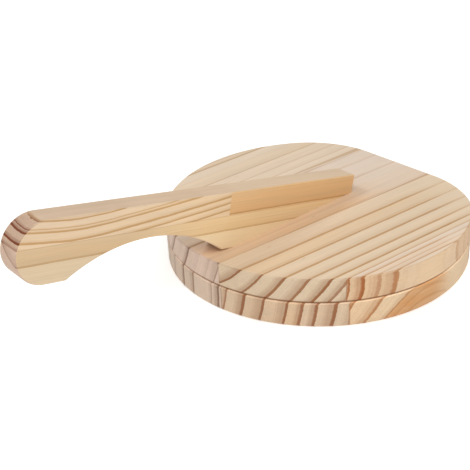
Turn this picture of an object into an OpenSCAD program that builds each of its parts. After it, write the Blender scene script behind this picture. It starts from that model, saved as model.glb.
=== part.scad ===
// Hinged wooden tortilla press.
// Two round pine boards, each glued up from straight staves, are joined by two
// butt hinges on their sawn-off rear edges. A plank handle stands on edge on the
// upper board and rises towards the grip, in front of the boards. The plank is
// glued up too: its upper strip is two lengths of wood with a finger joint.
//
// The origin is at the middle of the lower board's underside. +X points to the
// grip, +Z up, and the hinges are at -X. The press is drawn closed.

/* [Boards] */
// Diameter of the two round boards
board_d = 240; // [216:1:290]
// Thickness of each board
board_t = 19; // [16:0.5:28]
// Depth of the slice that is sawn off the rear of each board
rear_cut = 19; // [14:0.5:24]
// Gap between the pressing faces when the press is closed
press_gap = 0.4; // [0.3:0.05:1]
// Chamfer round both faces of each board
board_ease = 1; // [0.8:0.1:2]

/* [Staves] */
// Angle between the staves and the handle, seen from above
stave_turn = 3.2; // [2.8:0.1:4]
// Width of a board's two outermost staves together; the middle two share the rest
edge_staves_w = 90; // [80:1:100]
// Width of the upper board's rightmost stave
upper_edge_w = 18.7; // [17:0.1:20]
// Width of the lower board's rightmost stave
lower_edge_w = 17.5; // [17:0.1:20]

/* [Handle] */
// Thickness of the handle plank
handle_t = 19; // [14:0.5:26]
// Width of the handle plank, from its top edge to its bottom edge
handle_w = 43; // [39:0.5:52]
// Length of the handle plank along its top edge
handle_len = 298.5; // [280:0.5:330]
// Angle at which the handle rises from the upper board
handle_slope = 12.7; // [10:0.1:15]
// Height of the handle's rear top corner above the upper board
heel_h = 14.5; // [12:0.5:18]
// Distance from the middle of the boards back to that corner
heel_back = 33; // [20:1:45]
// Width that is left at the thinnest place of the neck
neck_w = 23.5; // [20:0.5:27]
// Radius of the hollow under the neck
neck_r = 116; // [100:1:135]
// Distance from the tip of the grip back to the thinnest place of the neck
neck_back = 101; // [92:1:112]
// Width of the plank's upper strip, above its glue line
strip_w = 17.3; // [16:0.1:18]
// Distance from the tip of the grip back to the finger joint in the upper strip
joint_back = 168.5; // [150:0.5:185]
// Length of the fingers of that joint
finger_len = 10; // [8:0.5:12]
// Number of fingers across the plank's thickness
finger_count = 5; // [3:1:6]
// Width of the blunt tip of a finger
finger_tip = 0.6; // [0.4:0.1:1]
// Chamfer along the long edges of the handle
handle_ease = 0.8; // [0.4:0.1:2]

/* [Hinges] */
// Length of one hinge along its pin
hinge_len = 30; // [26:0.5:34]
// Space between the two hinges
hinge_space = 8; // [5:0.5:12]
// Straight board edge left outside each hinge
hinge_margin = 1.5; // [0.5:0.1:4]
// Distance from the pin's axis to the far edge of a leaf
leaf_reach = 15; // [13:0.5:15.5]
// Thickness of the leaf sheet
leaf_t = 1.2; // [0.9:0.1:1.5]
// Clipped corners of the leaves
leaf_corner = 1.2; // [0.5:0.1:2]
// Diameter of the hinge pin
pin_d = 2.2; // [1.8:0.1:3]
// Radial running clearance between the pin and the knuckles
pin_clearance = 0.05; // [0.02:0.01:0.1]
// Diameter of the riveted heads of the pin
pin_head_d = 3.2; // [2.8:0.1:4]
// Height of the riveted heads of the pin
pin_head_h = 0.7; // [0.4:0.1:1.2]
// Gap between the knuckles and the rear edges of the boards
knuckle_standoff = 0.15; // [0.1:0.05:0.4]
// Gap between neighbouring knuckles
knuckle_gap = 0.3; // [0.2:0.05:0.5]
// Gap between the edge of a leaf and the other leaf's knuckles
leaf_relief = 0.4; // [0.3:0.05:0.6]

/* [Screws] */
// Shank diameter of a hinge screw
hinge_screw_d = 2.8; // [2.4:0.1:3.2]
// Head diameter of a hinge screw
hinge_screw_head_d = 5.4; // [4.8:0.1:6]
// Length of a hinge screw
hinge_screw_len = 16; // [12:1:20]
// Distance from the pin's axis to the hinge screws
hinge_screw_reach = 9.5; // [8.5:0.1:10.5]
// Distance between the two screws of a leaf
hinge_screw_pitch = 17; // [14:0.5:19]
// Shank diameter of a handle screw
handle_screw_d = 4; // [3.5:0.1:5]
// Head diameter of a handle screw
handle_screw_head_d = 8; // [7:0.1:9]
// Length of a handle screw
handle_screw_len = 35; // [30:1:36]
// Depth to which the handle screws' heads are sunk in the pressing face
handle_screw_sink = 0.8; // [0.4:0.1:2]
// Distance from each end of the handle's foot to its nearest screw
handle_screw_inset = 28; // [22:1:34]
// Number of screws that hold the handle
handle_screw_count = 3; // [2:1:4]
// Clearance between a screw and the wood round it
screw_clearance = 0.05; // [0.03:0.01:0.1]
// Width of the cross slots in the screw heads
slot_w = 0.8; // [0.6:0.1:1]
// Length of the cross slots, as left between the slot's end and the head's rim
slot_rim = 1.2; // [1:0.1:1.5]
// Depth of the cross slots
slot_depth = 1; // [0.6:0.1:1.2]

/* [Hidden] */

$fn = 128;
// Overshoot of cutting bodies past the faces that they cut
over = 1;
// Size of the blocks that trim whole pieces
far = 400;

// Boards
board_r = board_d / 2;
rear_x = board_r - rear_cut;
stave_w = (board_d - edge_staves_w) / 2;
upper_z = board_t + press_gap;
top_z = upper_z + board_t;
// Straight part of the rear edge, which seats both hinges
rear_w = 2 * hinge_len + hinge_space + 2 * hinge_margin;
// Arc that blends the rear edge into the rim: it touches a rim and a rear edge
// that lie corner_over outside the real ones
corner_over = 0.1;
outer_r = board_r + corner_over;
outer_x = rear_x + corner_over;
corner_r = (pow(outer_r, 2) - pow(outer_x, 2) - pow(rear_w / 2, 2)) / (2 * (outer_r - outer_x));
corner_x = corner_r - outer_x;
corner_meet_x = outer_r * cos(atan2(rear_w / 2, corner_x));

// Handle, in the plank's own frame: s runs along the top edge, n down from it
nose_r = handle_w / 2;
nose_s = handle_len - nose_r;
neck_s = handle_len - neck_back;
neck_n = neck_w + neck_r;
joint_s = handle_len - joint_back;
finger_pitch = handle_t / finger_count;
// Stretch of the plank's bottom that rests on the upper board
foot_end_s = (handle_w * cos(handle_slope) - heel_h) / sin(handle_slope);
foot_start_x = -heel_back + heel_h * tan(handle_slope);
foot_end_x = -heel_back + foot_end_s * cos(handle_slope) + handle_w * sin(handle_slope);
handle_screw_first_x = foot_start_x + handle_screw_inset;
handle_screw_last_x = foot_end_x - handle_screw_inset;
handle_screw_step = (handle_screw_last_x - handle_screw_first_x) / (handle_screw_count - 1);

// Hinges, from the pin's axis: the boards' rear edges are at leaf_back
hinge_pitch = hinge_len + hinge_space;
knuckle_count = 5;
pin_r = pin_d / 2;
pin_head_r = pin_head_d / 2;
knuckle_bore_r = pin_r + pin_clearance;
knuckle_r = knuckle_bore_r + leaf_t;
knuckle_len = (hinge_len - (knuckle_count - 1) * knuckle_gap) / knuckle_count;
leaf_back = knuckle_r + knuckle_standoff;
leaf_front = leaf_back - leaf_t;
leaf_edge = sqrt(pow(knuckle_r + leaf_relief, 2) - pow(leaf_front, 2));
hinge_x = -rear_x - leaf_back;
hinge_z = board_t + press_gap / 2;
LOWER = -1;
UPPER = 1;

// ---------------------------------------------------------------- boards

// Half section of a chamfered round board of radius r. A past value carries the
// chamfers on beyond the faces, for a body that only trims the rim.
module rim_profile(r, past = 0) {
    e = board_ease;
    polygon([
        [0, -past], [r - e - past, -past], [r, e],
        [r, board_t - e], [r - e - past, board_t + past], [0, board_t + past]
    ]);
}

// Round board, trimmed by its straight rear edge and by a large arc at each rear
// corner. The arcs are drawn slightly outside both, so that they are crossed.
module board_blank() {
    intersection() {
        rotate_extrude() rim_profile(board_r);
        rotate([90, 0, 0])
            linear_extrude(2 * far, center = true)
                mirror([1, 0, 0])
                    translate([rear_x - far, 0]) rim_profile(far, over);
        union() {
            for (side = [-1, 1])
                translate([corner_x, side * rear_w / 2, 0])
                    rotate_extrude() rim_profile(corner_r, over);
            translate([-far, -rear_w / 2, -over])
                cube([far, rear_w, board_t + 2 * over]);
            translate([corner_meet_x, -far, -over])
                cube([far, 2 * far, board_t + 2 * over]);
        }
    }
}

// One of the four staves, numbered from the left, of a board whose rightmost stave
// is edge_w wide
module board_stave(number, edge_w) {
    from_y = number == 1 ? -far : board_r - edge_w - (4 - number) * stave_w;
    to_y = number == 4 ? far : board_r - edge_w - (3 - number) * stave_w;
    intersection() {
        board_blank();
        rotate([0, 0, -stave_turn])
            translate([-far, from_y, -over])
                cube([2 * far, to_y - from_y, board_t + 2 * over]);
    }
}

module lower_board_stave(number, tint) {
    color(tint)
        difference() {
            board_stave(number, lower_edge_w);
            at_hinge_screws(LOWER) hinge_screw_hole();
        }
}

module upper_board_stave(number, tint) {
    color(tint)
        difference() {
            translate([0, 0, upper_z]) board_stave(number, upper_edge_w);
            at_hinge_screws(UPPER) hinge_screw_hole();
            at_handle_screws() handle_screw_hole();
        }
}

// ---------------------------------------------------------------- handle

// Cross section of the plank: its bottom edge is at -handle_w, its top edge at 0
module plank_section() {
    side = handle_t / 2;
    e = handle_ease;
    polygon([
        [-side + e, 0], [side - e, 0], [side, -e], [side, -handle_w + e],
        [side - e, -handle_w], [-side + e, -handle_w], [-side, -handle_w + e], [-side, -e]
    ]);
}

// Half section of the round nose of the plank
module nose_profile() {
    side = handle_t / 2;
    e = handle_ease;
    polygon([
        [0, -side], [nose_r - e, -side], [nose_r, -side + e],
        [nose_r, side - e], [nose_r - e, side], [0, side]
    ]);
}

// Half section of the wheel that hollows the neck and chamfers the hollow's edges
module neck_profile() {
    side = handle_t / 2;
    e = handle_ease;
    polygon([
        [0, -side - over], [neck_r + e + over, -side - over], [neck_r, -side + e],
        [neck_r, side - e], [neck_r + e + over, side + over], [0, side + over]
    ]);
}

// The whole plank in its own frame, with a square rear end and a round nose
module plank() {
    difference() {
        union() {
            rotate([90, 0, 90]) linear_extrude(nose_s) plank_section();
            translate([nose_s, 0, -nose_r])
                rotate([90, 0, 0]) rotate([0, 0, -90])
                    rotate_extrude(angle = 180) nose_profile();
        }
        translate([neck_s, 0, -neck_n])
            rotate([90, 0, 0]) rotate_extrude($fn = 360) neck_profile();
    }
}

module place_handle() {
    translate([-heel_back, 0, top_z + heel_h])
        rotate([0, -handle_slope, 0]) children();
}

// Strip of the plank between two depths, standing on the upper board
module handle_strip(from_n, to_n) {
    difference() {
        intersection() {
            place_handle() plank();
            place_handle()
                translate([-far, -far, -to_n]) cube([2 * far, 2 * far, to_n - from_n]);
            translate([-far, -far, top_z]) cube(2 * far);
        }
        at_handle_screws() handle_screw_hole();
    }
}

// Everything in front of the finger joint. The outermost roots of the fingers
// reach the sides of the plank, which show a plain line across the strip.
module in_front_of_joint() {
    half = finger_tip / 2;
    fingers = [
        for (i = [0 : finger_count - 1])
            let (y = -handle_t / 2 + i * finger_pitch, tip_y = y + finger_pitch / 2)
                each [
                    [joint_s, y + half], [joint_s - finger_len, tip_y - half],
                    [joint_s - finger_len, tip_y + half], [joint_s, y + finger_pitch - half]
                ]
    ];
    place_handle()
        linear_extrude(2 * far, center = true)
            polygon(concat(
                [[far, -far], [joint_s, -far]], fingers, [[joint_s, far], [far, far]]
            ));
}

module handle_top_strip_front() {
    color("wheat")
        intersection() {
            handle_strip(-over, strip_w);
            in_front_of_joint();
        }
}

module handle_top_strip_rear() {
    color("burlywood")
        difference() {
            handle_strip(-over, strip_w);
            in_front_of_joint();
        }
}

module handle_lower_strip() {
    color("navajowhite") handle_strip(strip_w, handle_w + over);
}

// ---------------------------------------------------------------- hinges

module at_hinge(side) {
    translate([hinge_x, side * hinge_pitch / 2, hinge_z]) children();
}

// Sheet of a leaf, hanging from z = 0 to its far edge
module leaf_sheet() {
    half = hinge_len / 2;
    c = leaf_corner;
    translate([leaf_front, 0, 0])
        rotate([90, 0, 90])
            linear_extrude(leaf_t)
                polygon([
                    [-half, -leaf_edge], [half, -leaf_edge],
                    [half, c - leaf_reach], [half - c, -leaf_reach],
                    [c - half, -leaf_reach], [-half, c - leaf_reach]
                ]);
}

// Rolled knuckles of a leaf, every second one from the first given
module knuckles(first) {
    for (i = [first : 2 : knuckle_count - 1])
        translate([0, i * (knuckle_len + knuckle_gap) - hinge_len / 2, 0]) {
            rotate([-90, 0, 0]) cylinder(r = knuckle_r, h = knuckle_len);
            translate([leaf_front, 0, -leaf_edge])
                cube([leaf_t, knuckle_len, leaf_edge]);
        }
}

// A leaf about the pin's axis, hanging down; the first knuckle tells the two apart
module leaf(first_knuckle) {
    difference() {
        union() {
            leaf_sheet();
            knuckles(first_knuckle);
        }
        rotate([90, 0, 0])
            cylinder(r = knuckle_bore_r, h = hinge_len + 2 * over, center = true);
        for (y = [-1, 1] * hinge_screw_pitch / 2)
            translate([leaf_front, y, -hinge_screw_reach])
                rotate([0, 90, 0]) hinge_screw_hole();
    }
}

module lower_leaf(side) {
    color("silver") at_hinge(side) leaf(0);
}

module upper_leaf(side) {
    color("silver") at_hinge(side) mirror([0, 0, 1]) leaf(1);
}

// Pin with a riveted head on each end
module hinge_pin(side) {
    half = hinge_len / 2;
    color("darkgray")
        at_hinge(side)
            rotate([90, 0, 0])
                rotate_extrude()
                    polygon([
                        [0, -half - pin_head_h], [pin_r, -half - pin_head_h],
                        [pin_head_r, -half - pin_head_h / 3], [pin_head_r, -half],
                        [pin_r, -half], [pin_r, half],
                        [pin_head_r, half], [pin_head_r, half + pin_head_h / 3],
                        [pin_r, half + pin_head_h], [0, half + pin_head_h]
                    ]);
}

// ---------------------------------------------------------------- screws

// Countersunk screw with a cross slot: the head's face is at z = 0, the tip at +Z
module wood_screw(d, head_d, length) {
    slot_len = head_d - 2 * slot_rim;
    difference() {
        rotate_extrude()
            polygon([
                [0, 0], [head_d / 2, 0], [d / 2, (head_d - d) / 2],
                [d / 2, length - d], [0, length]
            ]);
        for (turn = [0, 90])
            rotate([0, 0, turn])
                translate([-slot_len / 2, -slot_w / 2, -over])
                    cube([slot_len, slot_w, slot_depth + over]);
    }
}

// Hole for such a screw, sunk below the face that it enters
module screw_hole(d, head_d, length, sink) {
    c = screw_clearance;
    rotate_extrude()
        polygon([
            [0, -sink - over], [head_d / 2 + c, -sink - over], [head_d / 2 + c, 0],
            [d / 2 + c, (head_d - d) / 2], [d / 2 + c, length - d], [0, length + c]
        ]);
}

module hinge_screw_hole() {
    screw_hole(hinge_screw_d, hinge_screw_head_d, hinge_screw_len, 0);
}

module handle_screw_hole() {
    screw_hole(handle_screw_d, handle_screw_head_d, handle_screw_len, handle_screw_sink);
}

// Places of the screws of both lower or both upper leaves, pointing into the board
module at_hinge_screws(level) {
    for (side = [-1, 1], y = [-1, 1] * hinge_screw_pitch / 2)
        at_hinge(side)
            translate([leaf_front, y, level * hinge_screw_reach])
                rotate([0, 90, 0]) children();
}

// Places of the handle screws, driven up from the pressing face
module at_handle_screws() {
    for (i = [0 : handle_screw_count - 1])
        translate([handle_screw_first_x + i * handle_screw_step, 0, upper_z + handle_screw_sink])
            children();
}

module hinge_screws(level) {
    color("silver")
        at_hinge_screws(level)
            wood_screw(hinge_screw_d, hinge_screw_head_d, hinge_screw_len);
}

module handle_screws() {
    color("silver")
        at_handle_screws()
            wood_screw(handle_screw_d, handle_screw_head_d, handle_screw_len);
}

lower_board_stave(1, "wheat");  // lower_board_stave_1
lower_board_stave(2, "navajowhite");  // lower_board_stave_2
lower_board_stave(3, "wheat");  // lower_board_stave_3
lower_board_stave(4, "burlywood");  // lower_board_stave_4
upper_board_stave(1, "navajowhite");  // upper_board_stave_1
upper_board_stave(2, "wheat");  // upper_board_stave_2
upper_board_stave(3, "navajowhite");  // upper_board_stave_3
upper_board_stave(4, "wheat");  // upper_board_stave_4
handle_top_strip_front();
handle_top_strip_rear();
handle_lower_strip();
handle_screws();
lower_leaf(-1);  // left_hinge_lower_leaf
upper_leaf(-1);  // left_hinge_upper_leaf
hinge_pin(-1);  // left_hinge_pin
lower_leaf(1);  // right_hinge_lower_leaf
upper_leaf(1);  // right_hinge_upper_leaf
hinge_pin(1);  // right_hinge_pin
hinge_screws(LOWER);  // lower_hinge_screws
hinge_screws(UPPER);  // upper_hinge_screws
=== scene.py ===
from math import cos, radians, sin

import bpy
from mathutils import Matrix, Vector

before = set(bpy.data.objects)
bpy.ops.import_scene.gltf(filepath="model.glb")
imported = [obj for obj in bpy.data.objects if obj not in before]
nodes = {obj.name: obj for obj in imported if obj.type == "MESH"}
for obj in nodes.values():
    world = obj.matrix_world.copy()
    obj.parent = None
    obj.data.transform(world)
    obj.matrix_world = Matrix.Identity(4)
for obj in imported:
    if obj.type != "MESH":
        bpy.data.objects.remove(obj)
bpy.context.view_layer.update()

# ---------------------------------------------------------------- small helpers


def linear(code):
    """An sRGB hex colour as the linear red, green, blue and alpha that a shader takes."""
    parts = [int(code[i:i + 2], 16) / 255 for i in (1, 3, 5)]
    return tuple(p / 12.92 if p <= 0.04045 else ((p + 0.055) / 1.055) ** 2.4 for p in parts) + (1.0,)


def grey(value):
    return (value, value, value, 1.0)


def add(tree, kind, sockets=None, **settings):
    """Adds a node: settings are its own fields, and sockets its inputs, each a value or the
    output that feeds it."""
    new = tree.nodes.new(kind)
    for field, value in settings.items():
        setattr(new, field, value)
    for socket, value in (sockets or {}).items():
        if isinstance(value, bpy.types.NodeSocket):
            tree.links.new(value, new.inputs[socket])
        else:
            new.inputs[socket].default_value = value
    return new


def set_stops(ramp, stops):
    """Gives a colour ramp its stops, each a position and a linear colour."""
    elements = ramp.color_ramp.elements
    while len(elements) > 1:
        elements.remove(elements[-1])
    elements[0].position, elements[0].color = stops[0]
    for position, colour in stops[1:]:
        elements.new(position).color = colour


def mottle(tree, lie, pattern, seed=None):
    """A soft random pattern: the size of its patches in mm along x, y and z, its detail and its
    roughness. A seed tells it from the same pattern elsewhere."""
    size, detail, roughness = pattern
    shrunk = add(tree, "ShaderNodeVectorMath", {
        0: lie, 1: tuple(1 / length for length in size)}, operation="MULTIPLY")
    sockets = {"Vector": shrunk.outputs["Vector"], "Scale": 1.0, "Detail": detail, "Roughness": roughness}
    if seed is None:
        return add(tree, "ShaderNodeTexNoise", sockets).outputs
    return add(tree, "ShaderNodeTexNoise", {**sockets, "W": seed}, noise_dimensions="4D").outputs


def new_material(name):
    material = bpy.data.materials.new(name)
    material.use_nodes = True
    material.node_tree.nodes.clear()
    return material


def dress(node_name, material):
    """Gives every material slot of a CAD node this material."""
    piece = nodes[node_name]
    if not piece.material_slots:
        piece.data.materials.append(material)
    for slot in piece.material_slots:
        slot.material = material


# ---------------------------------------------------------------- the wood
#
# Sawn and sanded pine, with no varnish on it. The tree's yearly rings are
# cylinders about its pith, so each plank is cut from its own tree: rings that
# cross its face as lines also come down its end as bands. The eye sees pale
# spring wood that turns slowly to a brown summer line and then stops short.
# All lengths are in mm, and the grain runs along x.

MM = 1000.0

# the wood's random patterns: the size of a patch along the grain, across it and up, then its
# detail and its roughness
WANDER = ((140, 40, 40), 2.0, 0.5)
TREMBLE = ((12, 2.5, 2.5), 2.0, 0.6)
CLOUD = ((90, 9, 9), 4.0, 0.68)
# a real fibre is 0.03 mm wide: these are coarser, so that they show
FIBRE = ((45, 0.7, 0.7), 3.0, 0.65)
# cut fibre ends, drawn about as coarse as the fibres
SPECK = ((0.9, 0.55, 0.55), 2.0, 0.7)
# added to a plank's seed, so that no two of its patterns are alike
TREMBLE_SEED, FIBRE_SEED, CLOUD_SEED = 3, 7, 11

# how far the tremble moves a ring each way, which keeps its line from being ruler-sharp
TREMBLE_REACH = 0.4

# a normal's share along the grain: a long face has less than the first, an end more than the second
LONG_FACE, END_GRAIN = 0.05, 0.45
# a normal's share along the plank's own up: a face that looks up has more than the second
LEANS_UP, LOOKS_UP = 0.85, 0.97

# the first year starts this far inside its ring, and one more year ends this far outside the last
RING_MARGIN = 10
# the weak ring that closes that year: its strength, line, haze and warmth
OUTERMOST = (0.2, 1.0, 4.0, 0.3)
# how dark a summer line is over its width, from its spring side
SUMMER_LINE = ((0.0, 0.0), (0.12, 0.25), (0.4, 0.9), (0.6, 1.0), (0.93, 1.0), (1.0, 0.5))
# how dark the haze before a summer line gets, on a long face and on an end
HAZE_ON_FACE, HAZE_ON_END = 0.24, 0.42
# faint lines inside a year: how many to a mm of radius, and the least and most they darken it
FAINT_PER_MM, FAINT_PALE, FAINT_DARK = 1.3, -0.05, 0.12

# a warm ring keeps at least this much of its warmth between its blotches
LEAST_WARM = 0.55
# how dark and how pale the fibres and the clouds of the sanding make the wood, as factors, and
# what the cut fibre ends take from it or add
FIBRE_TONE = (0.94, 1.055)
CLOUD_TONE = (0.93, 1.065)
SPECK_TONE = (-0.09, 0.09)

# resin canals are brown dashes, up to 5 mm long and 0.8 mm wide, one in a patch of this size
CANAL_PATCH = (30, 5, 5)
# how near to its middle, in patches, a canal starts and is at its darkest, and how dark that is
CANAL_EDGE, CANAL_CORE, CANAL_DEPTH = 0.11, 0.05, 0.5

# how far from a glued face its dark line has gone, where it is full, and how dark that is
GLUE_GONE, GLUE_FULL, GLUE_DEPTH = 0.45, 0.1, 0.6
# how well a plain top colour hides the figure below it
TOP_COVER = 0.93
# how far from its middle a nick ends and is full, how dark that is, and its colour
NICK_EDGE, NICK_CORE, NICK_DEPTH, NICK_COLOUR = 1.5, 0.5, 0.8, "#5a3018"

# painted light at the seam between the boards, a painted highlight on the lower board's top chamfer and
# painted dark brown shade on the upper board's rim just above the gap: heights up the press, and how strong
# each is at each
SEAM_LOW, SEAM_HIGH = 17.5, 21.5
# a painted highlight on the lower board's top chamfer, just below the gap
CHAMFER_PAINTED_HIGHLIGHT = ((17.98, 0.0), (18.3, 0.4), (18.98, 0.7), (19.14, 0.0))
# painted shade on the upper board's lower chamfer and rim just above the gap, in a dark brown
SEAM_PAINTED_SHADE = ((19.02, 0.0), (19.18, 0.8), (20.3, 0.8), (21.02, 0.3), (21.42, 0.0))
SEAM_SHADE_COLOUR = "#743f12"
# the painted shade and highlight are full where a normal's upright share is under the first, and gone over
# the second
RIM_FULL, RIM_GONE = 0.8, 0.95

# bare wood is dull: the dense summer lines sand smoother than spring wood, and stand proud
SPRING_ROUGHNESS, SUMMER_ROUGHNESS, FIBRE_ROUGHNESS = 0.62, 0.5, 0.12
# how high the fibres stand, how high the lines do as a share of that, and how much it shows
FIBRE_HEIGHT, LINE_SHARE, FIBRE_BUMP = 0.08, 0.5, 0.25
WOOD_IOR, WOOD_SPECULAR = 1.5, 0.3

# where the handle's top edge starts at the rear, and the angle in degrees at which it climbs
HANDLE_X, HANDLE_Z, HANDLE_SLOPE = -33.0, 52.9, 12.7


def board_lay(turn):
    """Grain along x, turned a little about the upright axis."""
    angle = radians(turn)
    return dict(rotation=(0, 0, angle), location=(0, 0, 0), grain=(cos(angle), -sin(angle), 0), up=(0, 0, 1))


def handle_lay():
    """Grain along the handle's top edge: x runs from its rear end, and z is 0 at that edge
    and negative below it."""
    slope = radians(HANDLE_SLOPE)
    return dict(
        rotation=(0, slope, 0),
        location=(-HANDLE_X * cos(slope) - HANDLE_Z * sin(slope), 0,
                  HANDLE_X * sin(slope) - HANDLE_Z * cos(slope)),
        grain=(cos(slope), 0, sin(slope)), up=(-sin(slope), 0, cos(slope)))


def rise_along(tree, along, run):
    """How far the rings rise at a place along the plank, as a vector."""
    first, last = run[0][0], run[-1][0]
    highest = max(up for _, up in run)
    share = add(tree, "ShaderNodeMapRange", {
        "Value": along, "From Min": first, "From Max": last}, clamp=True)
    rise = add(tree, "ShaderNodeFloatCurve", {"Value": share.outputs["Result"]})
    curve = rise.mapping.curves[0]
    spots = [((at - first) / (last - first), up / highest) for at, up in run]
    curve.points[0].location = spots[0]
    curve.points[-1].location = spots[-1]
    for spot in spots[1:-1]:
        curve.points.new(*spot)
    rise.mapping.update()
    rise = add(tree, "ShaderNodeMath", {0: rise.outputs["Value"], 1: highest}, operation="MULTIPLY")
    return add(tree, "ShaderNodeCombineXYZ", {"Z": rise.outputs["Value"]}).outputs["Vector"]


def pith_distance(tree, lie, along, pith, run, sway, seed):
    """How far a place lies from the tree's pith, with grain that wanders and trembles."""
    wander = mottle(tree, lie, WANDER, seed)
    tremble = mottle(tree, lie, TREMBLE, seed + TREMBLE_SEED)
    inset = sway + TREMBLE_REACH
    away = add(tree, "ShaderNodeVectorMath", {
        0: wander["Color"], 1: (0, 2 * sway, 2 * sway), 2: (0, -inset - pith[0], -inset - pith[1])},
        operation="MULTIPLY_ADD")
    away = add(tree, "ShaderNodeVectorMath", {
        0: tremble["Color"], 1: (0, 2 * TREMBLE_REACH, 2 * TREMBLE_REACH), 2: away.outputs["Vector"]},
        operation="MULTIPLY_ADD")
    away = add(tree, "ShaderNodeVectorMath", {
        0: lie, 1: (0, 1, 1), 2: away.outputs["Vector"]}, operation="MULTIPLY_ADD")
    if run:
        away = add(tree, "ShaderNodeVectorMath", {
            0: away.outputs["Vector"], 1: rise_along(tree, along, run)}, operation="ADD")
    return add(tree, "ShaderNodeVectorMath", {0: away.outputs["Vector"]}, operation="LENGTH").outputs["Value"]


def count_years(tree, radius, edges):
    """The year that a radius lies in, as a place on a ramp of years, and how much of it is left."""
    count = float(len(edges) - 1)
    low, high = edges[0], edges[-1]
    span = add(tree, "ShaderNodeMapRange", {
        "Value": radius, "From Min": low, "From Max": high}, clamp=True)
    years = add(tree, "ShaderNodeValToRGB", {"Fac": span.outputs["Result"]})
    set_stops(years, [((edge - low) / (high - low), grey(i / count)) for i, edge in enumerate(edges)])
    years = add(tree, "ShaderNodeMath", {0: years.outputs["Color"], 1: count}, operation="MULTIPLY")
    year = add(tree, "ShaderNodeMath", {0: years.outputs["Value"]}, operation="FLOOR")
    year = add(tree, "ShaderNodeMath", {0: year.outputs["Value"], 1: 0.5}, operation="ADD")
    year = add(tree, "ShaderNodeMath", {0: year.outputs["Value"], 1: count}, operation="DIVIDE")
    season = add(tree, "ShaderNodeMath", {0: years.outputs["Value"]}, operation="FRACT")
    left = add(tree, "ShaderNodeMath", {0: 1.0, 1: season.outputs["Value"]}, operation="SUBTRACT")
    return year.outputs["Value"], left.outputs["Value"]


def year_rings(tree, radius, rings, across):
    """How dark the rings make the wood, from spring wood at 0 to a summer line at 1, and how
    warm its colour is."""
    edges = [rings[0][0] - RING_MARGIN] + [ring[0] for ring in rings] + [rings[-1][0] + RING_MARGIN]
    year, left = count_years(tree, radius, edges)

    # what each year is like: its strength, its line and haze as shares of its width, its warmth
    kind = add(tree, "ShaderNodeValToRGB", {"Fac": year})
    kind.color_ramp.interpolation = "CONSTANT"
    looks = [ring[1:] for ring in rings] + [OUTERMOST]
    widths = [outer - inner for inner, outer in zip(edges, edges[1:])]
    set_stops(kind, [
        (i / len(looks), (strength, line / width, haze / width, warmth))
        for i, ((strength, line, haze, warmth), width) in enumerate(zip(looks, widths))])
    kinds = add(tree, "ShaderNodeSeparateColor", {"Color": kind.outputs["Color"]})
    strength, line, haze = (kinds.outputs[part] for part in ("Red", "Green", "Blue"))

    # the summer line closes the year, and the haze leads up to it
    to_line = add(tree, "ShaderNodeMapRange", {
        "Value": left, "From Min": line, "From Max": 0.0}, clamp=True)
    summer_line = add(tree, "ShaderNodeValToRGB", {"Fac": to_line.outputs["Result"]})
    set_stops(summer_line, [(at, grey(depth)) for at, depth in SUMMER_LINE])
    haze_start = add(tree, "ShaderNodeMath", {0: haze, 1: line}, operation="ADD")
    deepest = add(tree, "ShaderNodeMapRange", {
        "Value": across, "To Min": HAZE_ON_FACE, "To Max": HAZE_ON_END}, clamp=True)
    to_haze = add(tree, "ShaderNodeMapRange", {
        "Value": left, "From Min": haze_start.outputs["Value"], "From Max": line,
        "To Min": 0.0, "To Max": deepest.outputs["Result"]},
        clamp=True, interpolation_type="SMOOTHSTEP")
    dark = add(tree, "ShaderNodeMath", {
        0: summer_line.outputs["Color"], 1: to_haze.outputs["Result"]}, operation="MAXIMUM")
    dark = add(tree, "ShaderNodeMath", {0: dark.outputs["Value"], 1: strength}, operation="MULTIPLY")

    faint = add(tree, "ShaderNodeMath", {0: radius, 1: FAINT_PER_MM}, operation="MULTIPLY")
    faint = add(tree, "ShaderNodeTexNoise", {
        "W": faint.outputs["Value"], "Scale": 1.0, "Detail": 2.0, "Roughness": 0.7}, noise_dimensions="1D")
    faint = add(tree, "ShaderNodeMapRange", {
        "Value": faint.outputs["Fac"], "From Min": 0.3, "From Max": 0.75,
        "To Min": FAINT_PALE, "To Max": FAINT_DARK}, clamp=True)
    dark = add(tree, "ShaderNodeMath", {
        0: dark.outputs["Value"], 1: faint.outputs["Result"]}, operation="ADD", use_clamp=True)
    return dark.outputs["Value"], kind.outputs["Alpha"]


def calm_figure(tree, along, across, calm):
    """How strong the figure is at a place along the plank: on an end it is squared, so that it
    weakens there more."""
    start, stop, there, here = calm
    figure = add(tree, "ShaderNodeMapRange", {
        "Value": along, "From Min": start, "From Max": stop, "To Min": there, "To Max": here},
        clamp=True, interpolation_type="SMOOTHSTEP")
    power = add(tree, "ShaderNodeMath", {0: across, 1: 1.0}, operation="ADD")
    return add(tree, "ShaderNodeMath", {
        0: figure.outputs["Result"], 1: power.outputs["Value"]}, operation="POWER").outputs["Value"]


def warm_share(tree, warmth, cloud, across, warm_end):
    """How far a ring leans to the plank's warm colour, in blotches, and less on an end."""
    blotch = add(tree, "ShaderNodeMapRange", {
        "Value": cloud, "From Min": 0.35, "From Max": 0.6, "To Min": LEAST_WARM, "To Max": 1.0}, clamp=True)
    keeps = add(tree, "ShaderNodeMapRange", {"Value": across, "To Min": 1.0, "To Max": warm_end}, clamp=True)
    share = add(tree, "ShaderNodeMath", {0: warmth, 1: blotch.outputs["Result"]}, operation="MULTIPLY")
    return add(tree, "ShaderNodeMath", {
        0: share.outputs["Value"], 1: keeps.outputs["Result"]}, operation="MULTIPLY").outputs["Value"]


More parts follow.
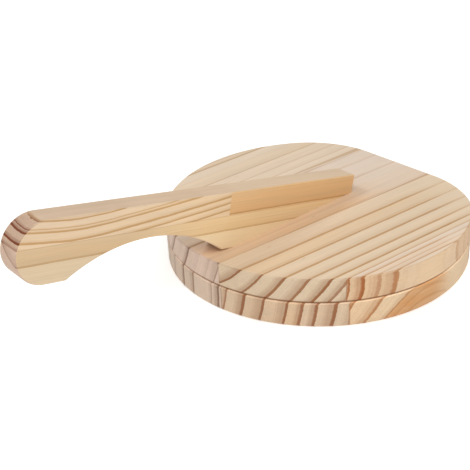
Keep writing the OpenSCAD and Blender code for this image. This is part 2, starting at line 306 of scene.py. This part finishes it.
def plain_top(tree, wood, looks_up, long_face, top):
    """Covers most of a strip's upward face with one plain colour."""
    covered = add(tree, "ShaderNodeMath", {0: long_face, 1: 2.0}, operation="POWER")
    covered = add(tree, "ShaderNodeMath", {0: looks_up, 1: covered.outputs["Value"]}, operation="MULTIPLY")
    covered = add(tree, "ShaderNodeMath", {0: covered.outputs["Value"], 1: TOP_COVER}, operation="MULTIPLY")
    return add(tree, "ShaderNodeMix", {
        0: covered.outputs["Value"], 6: wood, 7: linear(top)}, data_type="RGBA").outputs[2]


def resin_canals(tree, wood, summer, lie, long_face, seed):
    """Draws the resin canals, which show on the long faces alone."""
    patches = add(tree, "ShaderNodeVectorMath", {
        0: lie, 1: tuple(1 / length for length in CANAL_PATCH)}, operation="MULTIPLY")
    canal = add(tree, "ShaderNodeTexVoronoi", {
        "Vector": patches.outputs["Vector"], "W": seed, "Scale": 1.0}, voronoi_dimensions="4D", feature="F1")
    canal = add(tree, "ShaderNodeMapRange", {
        "Value": canal.outputs["Distance"], "From Min": CANAL_EDGE, "From Max": CANAL_CORE,
        "To Min": 0.0, "To Max": CANAL_DEPTH}, clamp=True)
    canal = add(tree, "ShaderNodeMath", {0: canal.outputs["Result"], 1: long_face}, operation="MULTIPLY")
    return add(tree, "ShaderNodeMix", {
        0: canal.outputs["Value"], 6: wood, 7: summer}, data_type="RGBA").outputs[2]


def glue_lines(tree, wood, summer, apart, glue):
    """Draws a thin dark line where the plank meets each of its neighbours."""
    axis, first, last = glue
    reach = (last - first) / 2
    line = add(tree, "ShaderNodeMath", {0: apart.outputs[axis], 1: (first + last) / 2}, operation="SUBTRACT")
    line = add(tree, "ShaderNodeMath", {0: line.outputs["Value"]}, operation="ABSOLUTE")
    line = add(tree, "ShaderNodeMapRange", {
        "Value": line.outputs["Value"], "From Min": reach - GLUE_GONE, "From Max": reach - GLUE_FULL,
        "To Min": 0.0, "To Max": GLUE_DEPTH}, clamp=True)
    return add(tree, "ShaderNodeMix", {
        0: line.outputs["Result"], 6: wood, 7: summer}, data_type="RGBA").outputs[2]


def drifting_tint(tree, wood, along, fade):
    """Tints the wood more and more along the plank."""
    start, stop, tint = fade
    drift = add(tree, "ShaderNodeMapRange", {
        "Value": along, "From Min": start, "From Max": stop}, clamp=True, interpolation_type="SMOOTHSTEP")
    drift = add(tree, "ShaderNodeMix", {
        0: drift.outputs["Result"], 6: grey(1.0), 7: tint + (1.0,)}, data_type="RGBA")
    return add(tree, "ShaderNodeMix", {
        0: 1.0, 6: wood, 7: drift.outputs[2]}, data_type="RGBA", blend_type="MULTIPLY").outputs[2]


def dark_nick(tree, wood, spot, nick):
    """Darkens the wood round a small dent."""
    dent = add(tree, "ShaderNodeVectorMath", {
        0: spot, 1: [length / MM for length in nick]}, operation="DISTANCE")
    dent = add(tree, "ShaderNodeMapRange", {
        "Value": dent.outputs["Value"], "From Min": NICK_EDGE / MM, "From Max": NICK_CORE / MM,
        "To Min": 0.0, "To Max": NICK_DEPTH}, clamp=True)
    return add(tree, "ShaderNodeMix", {
        0: dent.outputs["Result"], 6: wood, 7: linear(NICK_COLOUR)}, data_type="RGBA").outputs[2]


def seam_shade_and_highlight(tree, normal, height):
    """How much painted shade and painted highlight the wood gets at the seam: shade just above the gap,
    a highlight on the chamfer below it, on the rim and its corners alone, and not on the faces that press."""
    rim = add(tree, "ShaderNodeSeparateXYZ", {"Vector": normal})
    rim = add(tree, "ShaderNodeMath", {0: rim.outputs["Z"]}, operation="ABSOLUTE")
    rim = add(tree, "ShaderNodeMapRange", {
        "Value": rim.outputs["Value"], "From Min": RIM_GONE, "From Max": RIM_FULL}, clamp=True)
    level = add(tree, "ShaderNodeMapRange", {
        "Value": height, "From Min": SEAM_LOW, "From Max": SEAM_HIGH}, clamp=True)
    painted_marks = []
    for painted_stops in (SEAM_PAINTED_SHADE, CHAMFER_PAINTED_HIGHLIGHT):
        amount = add(tree, "ShaderNodeValToRGB", {"Fac": level.outputs["Result"]})
        set_stops(amount, [((up - SEAM_LOW) / (SEAM_HIGH - SEAM_LOW), grey(depth)) for up, depth in painted_stops])
        amount = add(tree, "ShaderNodeMath", {
            0: amount.outputs["Color"], 1: rim.outputs["Result"]}, operation="MULTIPLY")
        painted_marks.append(amount.outputs["Value"])
    return painted_marks


def sanded_shade(tree, lie, fibre, cloud, across):
    """How the fibres, the clouds of the sanding and the cut fibre ends shade the wood."""
    shade = add(tree, "ShaderNodeMapRange", {
        "Value": fibre, "From Min": 0.25, "From Max": 0.75,
        "To Min": FIBRE_TONE[0], "To Max": FIBRE_TONE[1]}, clamp=True)
    mist = add(tree, "ShaderNodeMapRange", {
        "Value": cloud, "From Min": 0.25, "From Max": 0.75,
        "To Min": CLOUD_TONE[0], "To Max": CLOUD_TONE[1]}, clamp=True)
    shade = add(tree, "ShaderNodeMath", {
        0: shade.outputs["Result"], 1: mist.outputs["Result"]}, operation="MULTIPLY")
    specks = add(tree, "ShaderNodeMapRange", {
        "Value": mottle(tree, lie, SPECK)["Fac"], "From Min": 0.3, "From Max": 0.7,
        "To Min": SPECK_TONE[0], "To Max": SPECK_TONE[1]}, clamp=True)
    specks = add(tree, "ShaderNodeMath", {
        0: specks.outputs["Result"], 1: across, 2: 1.0}, operation="MULTIPLY_ADD")
    return add(tree, "ShaderNodeMath", {
        0: shade.outputs["Value"], 1: specks.outputs["Value"]}, operation="MULTIPLY").outputs["Value"]


def sanded_surface(tree, wood, dark, fibre):
    """Closes the material: how dull the wood is, and how its lines and fibres stand up."""
    rough = add(tree, "ShaderNodeMapRange", {
        "Value": dark, "From Min": 0.0, "From Max": 1.0,
        "To Min": SPRING_ROUGHNESS, "To Max": SUMMER_ROUGHNESS}, clamp=True)
    rough = add(tree, "ShaderNodeMath", {
        0: fibre, 1: FIBRE_ROUGHNESS, 2: rough.outputs["Result"]}, operation="MULTIPLY_ADD")
    height = add(tree, "ShaderNodeMath", {0: dark, 1: LINE_SHARE, 2: fibre}, operation="MULTIPLY_ADD")
    bump = add(tree, "ShaderNodeBump", {
        "Strength": FIBRE_BUMP, "Distance": FIBRE_HEIGHT / MM, "Height": height.outputs["Value"]})
    shader = add(tree, "ShaderNodeBsdfPrincipled", {
        "Base Color": wood, "Roughness": rough.outputs["Value"], "Normal": bump.outputs["Normal"],
        "IOR": WOOD_IOR, "Specular IOR Level": WOOD_SPECULAR})
    add(tree, "ShaderNodeOutputMaterial", {"Surface": shader.outputs["BSDF"]})


def pine(name, lay, pith, rings, face, end, warm, seed, glue=None, run=None, sway=0.8,
         top_sheen=(1.0, 1.0, 1.0), top=None, fade=None, calm=None, warm_end=0.0, seam=False, nick=None):
    """One plank of sanded pine.

    lay     which way the plank lies, from board_lay or handle_lay
    pith    where the tree's middle lies, across and up
    rings   from the pith out: (radius, strength of its summer line, that line's width, width of
            the haze before it, warmth)
    face    (spring, summer) colours where the plank shows its length
    end     (spring, summer) colours where its fibres are cut across
    warm    the colour that a warm ring leans to
    seed    tells one plank's random patterns from another's
    glue    (axis, place, place): the plank is glued at these two places on that axis
    run     how the rings rise or fall along the plank: (place along, rise) points
    sway    how far the rings wander
    top_sheen  a painted sheen: a tint of the face that looks up, paler and bluer where the sky's reflection
    falls on it
    top     a plain colour that covers most of that face, on a strip cut along its rings
    fade    how the tint drifts along the plank: (from, to, the tint of its far end)
    calm    how the figure changes along the plank: (from, to, its strength before, and after)
    warm_end  how much of the warm colour is left where the fibres are cut across
    seam    whether the seam gets painted light: painted shade just above the gap between the two boards, over a painted highlight on the lower board's chamfer
    nick    a small dark dent at this point
    """
    material = new_material(name)
    tree = material.node_tree
    place = add(tree, "ShaderNodeTexCoord").outputs
    lie = add(tree, "ShaderNodeMapping", {
        "Vector": place["Object"], "Location": lay["location"],
        "Rotation": lay["rotation"], "Scale": (MM, MM, MM)}, vector_type="POINT").outputs["Vector"]
    apart = add(tree, "ShaderNodeSeparateXYZ", {"Vector": lie})
    along = apart.outputs["X"]

    # how far the surface cuts the fibres across: 0 on a long face, 1 on an end
    across = add(tree, "ShaderNodeVectorMath", {0: place["Normal"], 1: lay["grain"]}, operation="DOT_PRODUCT")
    across = add(tree, "ShaderNodeMath", {0: across.outputs["Value"]}, operation="ABSOLUTE")
    across = add(tree, "ShaderNodeMapRange", {
        "Value": across.outputs["Value"], "From Min": LONG_FACE, "From Max": END_GRAIN},
        clamp=True, interpolation_type="SMOOTHSTEP").outputs["Result"]
    long_face = add(tree, "ShaderNodeMath", {0: 1.0, 1: across}, operation="SUBTRACT").outputs["Value"]
    looks_up = add(tree, "ShaderNodeVectorMath", {0: place["Normal"], 1: lay["up"]}, operation="DOT_PRODUCT")
    looks_up = add(tree, "ShaderNodeMapRange", {
        "Value": looks_up.outputs["Value"], "From Min": LEANS_UP, "From Max": LOOKS_UP},
        clamp=True, interpolation_type="SMOOTHSTEP").outputs["Result"]

    fibre = mottle(tree, lie, FIBRE, seed + FIBRE_SEED)["Fac"]
    cloud = mottle(tree, lie, CLOUD, seed + CLOUD_SEED)["Fac"]
    radius = pith_distance(tree, lie, along, pith, run, sway, seed)
    dark, warmth = year_rings(tree, radius, rings, across)
    if calm:
        figure = calm_figure(tree, along, across, calm)
        dark = add(tree, "ShaderNodeMath", {0: dark, 1: figure}, operation="MULTIPLY").outputs["Value"]
        warmth = add(tree, "ShaderNodeMath", {0: warmth, 1: figure}, operation="MULTIPLY").outputs["Value"]

    spring = add(tree, "ShaderNodeMix", {
        0: across, 6: linear(face[0]), 7: linear(end[0])}, data_type="RGBA").outputs[2]
    summer = add(tree, "ShaderNodeMix", {
        0: across, 6: linear(face[1]), 7: linear(end[1])}, data_type="RGBA").outputs[2]
    warmed = add(tree, "ShaderNodeMix", {
        0: warm_share(tree, warmth, cloud, across, warm_end), 6: spring, 7: linear(warm)},
        data_type="RGBA").outputs[2]
    wood = add(tree, "ShaderNodeMix", {0: dark, 6: warmed, 7: summer}, data_type="RGBA").outputs[2]

    if top:
        wood = plain_top(tree, wood, looks_up, long_face, top)
    wood = resin_canals(tree, wood, summer, lie, long_face, seed)
    if glue:
        wood = glue_lines(tree, wood, summer, apart, glue)
    if fade:
        wood = drifting_tint(tree, wood, along, fade)
    if nick:
        wood = dark_nick(tree, wood, place["Object"], nick)
    shade = sanded_shade(tree, lie, fibre, cloud, across)
    # painted light at the seam: dark brown painted shade just above the gap between the boards, and a painted
    # highlight that brightens the chamfer below it
    if seam:
        seam_shade, chamfer_highlight = seam_shade_and_highlight(tree, place["Normal"], apart.outputs["Z"])
        wood = add(tree, "ShaderNodeMix", {
            0: seam_shade, 6: wood, 7: linear(SEAM_SHADE_COLOUR)}, data_type="RGBA").outputs[2]
        highlighted = add(tree, "ShaderNodeMath", {0: chamfer_highlight, 1: 1.0}, operation="ADD")
        shade = add(tree, "ShaderNodeMath", {
            0: shade, 1: highlighted.outputs["Value"]}, operation="MULTIPLY").outputs["Value"]
    wood = add(tree, "ShaderNodeVectorMath", {0: wood, "Scale": shade}, operation="SCALE").outputs["Vector"]
    # painted sheen: the face that looks up gets a tint, paler and bluer on the lid's near stave, standing in
    # for the sky's reflection
    sheen_tinted = add(tree, "ShaderNodeVectorMath", {0: wood, 1: top_sheen}, operation="MULTIPLY")
    wood = add(tree, "ShaderNodeMix", {
        0: looks_up, 6: wood, 7: sheen_tinted.outputs["Vector"]}, data_type="RGBA").outputs[2]
    sanded_surface(tree, wood, dark, fibre)
    return material


# ---------------------------------------------------------------- the boards
#
# Staves glued edge to edge, their seams turned a little from the handle's line.

# the seams' turn in degrees, and where they cross the middle of each board
SEAM_TURN = 3.2
UPPER_SEAMS = (-48.7, 26.3, 101.3)
LOWER_SEAMS = (-47.5, 27.5, 102.5)
# beyond the rim, where an outer stave has no neighbour
PAST_RIM = 140.0

dress("upper_board_stave_1", pine(
    "sanded pine, far stave of the lid", board_lay(0.6), pith=(-200, 38),
    rings=[(84, 0.4, 2, 4, 0.1), (90.5, 0.75, 3, 4, 0.3), (101, 0.12, 1, 3, 0),
           (116.8, 0.5, 2.4, 9, 0.3), (124, 0.2, 1, 3, 0.1), (131, 0.4, 2, 5, 0.1),
           (143.5, 0.4, 2, 5, 0.1), (152, 0.3, 2, 4, 0)],
    face=("#e4d0b8", "#bd9a72"), end=("#d6c0ab", "#8f6b50"), warm="#dcc098", seed=1,
    glue=("Y", -PAST_RIM, UPPER_SEAMS[0]), seam=True))
# the warm rings along its edge beside the handle are partly the wood's own warm tone and partly painted
# light: the orange bounce that fills the handle's shadow
dress("upper_board_stave_2", pine(
    "sanded pine, middle stave of the lid under the handle", board_lay(2.0), pith=(-120, 82),
    rings=[(80, 0.3, 2, 3, 0.1), (87.5, 0.65, 2.5, 3, 0.1), (94, 0.1, 1, 2, 0), (101, 0.75, 3, 3, 0.1),
           (111, 0.12, 1.5, 3, 0), (120.8, 0.85, 3, 3, 0.1), (132, 0.12, 2, 3, 0.3),
           (143, 0.25, 2, 4, 0.8), (151.8, 0.65, 1.6, 7, 0.9), (157, 0.3, 2, 4, 0.9)],
    face=("#e2cfbc", "#b48c62"), end=("#d0b8a6", "#7c5840"), warm="#dfbb93", seed=2,
    glue=("Y", UPPER_SEAMS[0], UPPER_SEAMS[1]), calm=(-75, 0, 0.3, 1.0), nick=(118.5, 19.4, 38.3), seam=True))
dress("upper_board_stave_3", pine(
    "sanded pine, broad stave of the lid with crossing rings", board_lay(SEAM_TURN), pith=(-6.5, 77),
    rings=[(51, 0.5, 2, 3, 0.1), (64.3, 0.95, 2.4, 6, 0.1), (74.2, 0.4, 1.2, 2, 0.6),
           (76.8, 0.9, 2.2, 3, 0.6), (89, 0.95, 2.6, 4.5, 0.1), (100.4, 0.9, 2.5, 5, 0.1),
           (109.8, 1, 2.3, 4, 0.1), (116.2, 0.8, 2, 3, 0.1), (121, 0.6, 1.5, 3, 0.1)],
    face=("#e3cdb1", "#bd9467"), end=("#d1bb9f", "#8f5c34"), warm="#dbbc95", seed=3,
    glue=("Y", UPPER_SEAMS[1], UPPER_SEAMS[2]), calm=(-95, -50, 0.35, 1.0), seam=True))
# its face that looks up carries a painted sheen, a paler and bluer tint
dress("upper_board_stave_4", pine(
    "sanded pine, near stave of the lid with close upright rings", board_lay(SEAM_TURN), pith=(40, 32),
    rings=[(58, 0.6, 1.2, 2, 0), (62.4, 0.85, 1.2, 2, 0), (67.5, 1, 2, 2.5, 0.1),
           (72.3, 0.6, 1.8, 2.5, 0.3), (76.4, 0.95, 1.8, 2.5, 0.3), (78, 0.08, 0.5, 1, 0.2),
           (79.4, 0.1, 0.5, 1, 0.2)],
    face=("#d7bfa2", "#c19468"), end=("#d3b38f", "#9c5c2c"), warm="#deb27c", seed=4,
    glue=("Y", UPPER_SEAMS[2], PAST_RIM), top_sheen=(1.14, 1.24, 1.44), calm=(-38, -15, 0.55, 1.0), seam=True))

dress("lower_board_stave_1", pine(
    "sanded pine, far stave of the base", board_lay(SEAM_TURN), pith=(-180, 20),
    rings=[(70, 0.5, 2, 4, 0.1), (84, 0.6, 2, 4, 0.1), (97, 0.6, 2, 4, 0.1), (110, 0.6, 2, 4, 0.1),
           (122, 0.5, 2, 4, 0.1), (131, 0.5, 2, 4, 0.1)],
    face=("#e0cdb4", "#bf9a70"), end=("#c8b8a6", "#8f715c"), warm="#dcc098", seed=5,
    glue=("Y", -PAST_RIM, LOWER_SEAMS[0]), seam=True))
dress("lower_board_stave_2", pine(
    "sanded pine, middle stave of the base with upright rings", board_lay(SEAM_TURN), pith=(-150, 12),
    rings=[(104, 0.5, 2, 3, 0.1), (118, 0.5, 2.5, 4, 0.1), (134.2, 1, 2.4, 3, 0.1),
           (148.2, 0.75, 3, 5, 0.1), (168.6, 0.55, 1.6, 3, 0.1), (175.6, 0.9, 3, 4, 0.1),
           (180, 0.5, 2, 3, 0.1)],
    face=("#e0cdb4", "#bf9a70"), end=("#c9b39f", "#7e5e46"), warm="#dcc098", seed=6,
    glue=("Y", LOWER_SEAMS[0], LOWER_SEAMS[1]), seam=True))
dress("lower_board_stave_3", pine(
    "sanded pine, broad stave of the base with upright rings", board_lay(SEAM_TURN), pith=(-60, 29),
    rings=[(93.6, 0.8, 2.4, 4, 0.1), (108.1, 1, 3.4, 6, 0.1), (121, 0.95, 2.4, 8, 0.25),
           (135.2, 0.95, 2.4, 7, 0.25), (143.4, 0.95, 2.6, 2.6, 0.5), (150.4, 0.95, 2.4, 2.6, 0.2),
           (158.6, 1, 2.4, 5, 0.2), (165, 0.6, 1.5, 3, 0.1)],
    face=("#e2ccae", "#bd9262"), end=("#cfb89d", "#905d3a"), warm="#d8ac79", seed=7,
    glue=("Y", LOWER_SEAMS[1], LOWER_SEAMS[2]), warm_end=0.8, seam=True))
dress("lower_board_stave_4", pine(
    "sanded pine, near stave of the base with a warm streak", board_lay(SEAM_TURN), pith=(-10, 45),
    rings=[(108, 0.4, 1.5, 3, 0.1), (117.2, 0.85, 1.6, 3, 0.1), (125.8, 0.8, 1.5, 3, 0.1),
           (131.2, 0.8, 0.9, 1, 0), (133.3, 0.4, 0.9, 1, 1), (135.6, 0.5, 0.9, 1, 1),
           (140, 0.5, 2, 4, 1)],
    face=("#dcc3a2", "#b07a44"), end=("#d9bd9a", "#a4652f"), warm="#c78d52", seed=8,
    glue=("Y", LOWER_SEAMS[2], PAST_RIM), calm=(-30, 0, 0.15, 1.0), warm_end=0.8, seam=True))

# ---------------------------------------------------------------- the handle
#
# One plank from three strips, glued along a line below its top edge.

# the glue line's place below the top edge, and a place below the handle's bottom edge
GLUE_LINE_Z = -17.3
PAST_BOTTOM = -60.0

dress("handle_top_strip_front", pine(
    "sanded pine, front of the handle's top strip", handle_lay(), pith=(3, 90),
    rings=[(72, 0.3, 1, 2, 0.1), (77.7, 1, 1.4, 1.5, 0.1), (82.5, 0.8, 1, 1, 0.1),
           (84.9, 1, 1.7, 1, 0.2), (91.7, 1, 2.1, 2, 0.2), (96.4, 1, 1.7, 2, 0.2),
           (101.4, 1, 1.6, 2, 0.2)],
    face=("#e3caaa", "#c19865"), end=("#c7a88e", "#77380f"), warm="#deb47c", seed=9,
    run=((120, 0.3), (144, 4), (168, 7), (192, 10), (216, 12.5), (240, 14.8), (258, 15.4), (276, 14.2),
         (300, 11.9)),
    sway=0.4, top="#d7bc9f", fade=(150, 260, (0.93, 0.93, 0.95))))
dress("handle_top_strip_rear", pine(
    "sanded pine, warm rear of the handle's top strip", handle_lay(), pith=(0, 60),
    rings=[(60, 0.2, 1, 3, 0.5), (77.2, 0.8, 1.5, 12, 0.6)],
    face=("#e6c398", "#b98750"), end=("#c9a27a", "#8d5a35"), warm="#dbab70", seed=10,
    sway=0.6, top="#dbc2a5"))
dress("handle_lower_strip", pine(
    "sanded pine, handle's lower strip and foot", handle_lay(), pith=(34, 27),
    rings=[(50, 0.4, 1, 3, 0.1), (61, 0.62, 1.6, 8, 0.5), (76, 0.2, 1, 3, 0), (90, 0.3, 1, 3, 0.1)],
    face=("#efd4aa", "#c0935a"), end=("#e3c2a5", "#8d5a38"), warm="#e0b67c", seed=11,
    glue=("Z", PAST_BOTTOM, GLUE_LINE_Z), sway=0.6, fade=(120, 230, (0.77, 0.78, 0.84))))

# ---------------------------------------------------------------- the metal
#
# Pressed and drawn steel with a thin zinc coat: a grey mirror gone cloudy, with
# fine rolling lines along y and dull patches. All lengths are in mm.

# the size of the zinc's clouds, with their detail and roughness, and how they tone the steel
ZINC_CLOUD = ((4, 4, 4), 4.0, 0.55)
ZINC_TONE = (0.86, 1.04)
# how much duller than the steel a cloud can be, and how much glossier
DULLER, GLOSSIER = 0.1, 0.05
# the rolling lines' length and height, and the detail and roughness of their pattern
ROLLED_LENGTH, ROLLED_HEIGHT, ROLLED_DETAIL, ROLLED_RAGGED = 14, 0.03, 3.0, 0.6
# how much the lines show in relief, and how much they dull the steel
ROLLED_BUMP, ROLLED_DULL = 0.3, 0.12


def plated_steel(name, colour, rough, line_width):
    """Zinc-plated steel whose rolling lines are this wide, coarser than real ones so that they
    show."""
    material = new_material(name)
    tree = material.node_tree
    place = add(tree, "ShaderNodeTexCoord")
    lie = add(tree, "ShaderNodeMapping", {
        "Vector": place.outputs["Object"], "Scale": (MM, MM, MM)}, vector_type="POINT").outputs["Vector"]
    rolled = mottle(tree, lie, (
        (line_width, ROLLED_LENGTH, line_width), ROLLED_DETAIL, ROLLED_RAGGED))["Fac"]
    clouds = mottle(tree, lie, ZINC_CLOUD)["Fac"]
    tone = add(tree, "ShaderNodeMapRange", {
        "Value": clouds, "From Min": 0.3, "From Max": 0.7,
        "To Min": ZINC_TONE[0], "To Max": ZINC_TONE[1]}, clamp=True)
    tint = add(tree, "ShaderNodeVectorMath", {
        0: linear(colour)[:3], "Scale": tone.outputs["Result"]}, operation="SCALE")
    dulled = add(tree, "ShaderNodeMapRange", {
        "Value": clouds, "From Min": 0.3, "From Max": 0.7,
        "To Min": rough + DULLER, "To Max": rough - GLOSSIER}, clamp=True)
    dulled = add(tree, "ShaderNodeMath", {
        0: rolled, 1: ROLLED_DULL, 2: dulled.outputs["Result"]}, operation="MULTIPLY_ADD")
    bump = add(tree, "ShaderNodeBump", {
        "Strength": ROLLED_BUMP, "Distance": ROLLED_HEIGHT / MM, "Height": rolled})
    shader = add(tree, "ShaderNodeBsdfPrincipled", {
        "Base Color": tint.outputs["Vector"], "Metallic": 1.0, "Roughness": dulled.outputs["Value"],
        "Normal": bump.outputs["Normal"]})
    add(tree, "ShaderNodeOutputMaterial", {"Surface": shader.outputs["BSDF"]})
    return material


leaf_zinc = plated_steel("zinc-plated steel, pressed hinge leaf", "#b4b6b4", rough=0.3, line_width=0.5)
pin_zinc = plated_steel("zinc-plated steel, turned hinge pin", "#a9aaa7", rough=0.24, line_width=0.4)
screw_zinc = plated_steel("zinc-plated steel, wood screw", "#bcbab2", rough=0.26, line_width=0.35)
for side in ("left", "right"):
    dress(side + "_hinge_lower_leaf", leaf_zinc)
    dress(side + "_hinge_upper_leaf", leaf_zinc)
    dress(side + "_hinge_pin", pin_zinc)
for screws in ("handle_screws", "lower_hinge_screws", "upper_hinge_screws"):
    dress(screws, screw_zinc)

# ---------------------------------------------------------------- floor, light and camera
#
# Places in metres, angles in degrees, power in watts.

# the floor lies a hair below the press, so that their faces don't coincide
FLOOR_SIZE, FLOOR_Z = 60.0, -0.0002
FLOOR_GLOW, WORLD_STRENGTH = 0.3, 0.5
WHITE = (1.0, 1.0, 1.0, 1.0)

# the point that the softboxes face
LIGHTS_AIM = Vector((0.05, 0, 0.04))

CAMERA_PLACE = (0.462, 0.4556, 0.3618)
CAMERA_TURN = (61.458, 2.44, 139.094)
# width of the sensor and focal length, in mm
CAMERA_SENSOR, CAMERA_LENS = 36.0, 69.9


def studio_floor():
    bpy.ops.object.select_all(action="DESELECT")
    bpy.ops.mesh.primitive_plane_add(size=FLOOR_SIZE, location=(0, 0, FLOOR_Z))
    floor = bpy.context.object
    floor.name = "pale_floor"
    bpy.ops.object.transform_apply(location=True, rotation=True, scale=True)
    paint = new_material("matt white studio floor")
    shader = add(paint.node_tree, "ShaderNodeBsdfPrincipled", {
        "Base Color": linear("#f7f7f6"), "Roughness": 0.9, "Specular IOR Level": 0.1,
        "Emission Color": WHITE, "Emission Strength": FLOOR_GLOW})
    add(paint.node_tree, "ShaderNodeOutputMaterial", {"Surface": shader.outputs["BSDF"]})
    floor.data.materials.append(paint)


def white_room():
    """Even white light from all sides."""
    world = bpy.data.worlds.new("white studio")
    bpy.context.scene.world = world
    world.use_nodes = True
    world.node_tree.nodes.clear()
    walls = add(world.node_tree, "ShaderNodeBackground", {"Color": WHITE, "Strength": WORLD_STRENGTH})
    add(world.node_tree, "ShaderNodeOutputWorld", {"Surface": walls.outputs["Background"]})


def softbox(name, spot, size, power):
    """A square studio light that looks at the press."""
    bpy.ops.object.light_add(type="AREA", location=spot)
    lamp = bpy.context.object
    lamp.name = name
    lamp.data.size = size
    lamp.data.energy = power
    lamp.rotation_euler = (LIGHTS_AIM - lamp.location).to_track_quat("-Z", "Y").to_euler()


def studio_camera():
    turn = tuple(radians(angle) for angle in CAMERA_TURN)
    bpy.ops.object.camera_add(location=CAMERA_PLACE, rotation=turn)
    camera = bpy.context.object
    camera.data.sensor_width = CAMERA_SENSOR
    camera.data.lens = CAMERA_LENS
    bpy.context.scene.camera = camera


studio_floor()
white_room()
softbox("key softbox", spot=(1.01, -1.05, 1.79), size=0.5, power=10.0)
softbox("front softbox", spot=(0.64, 1.28, 2.06), size=1.6, power=30.0)
studio_camera()
bpy.context.scene.view_settings.view_transform = "Standard"
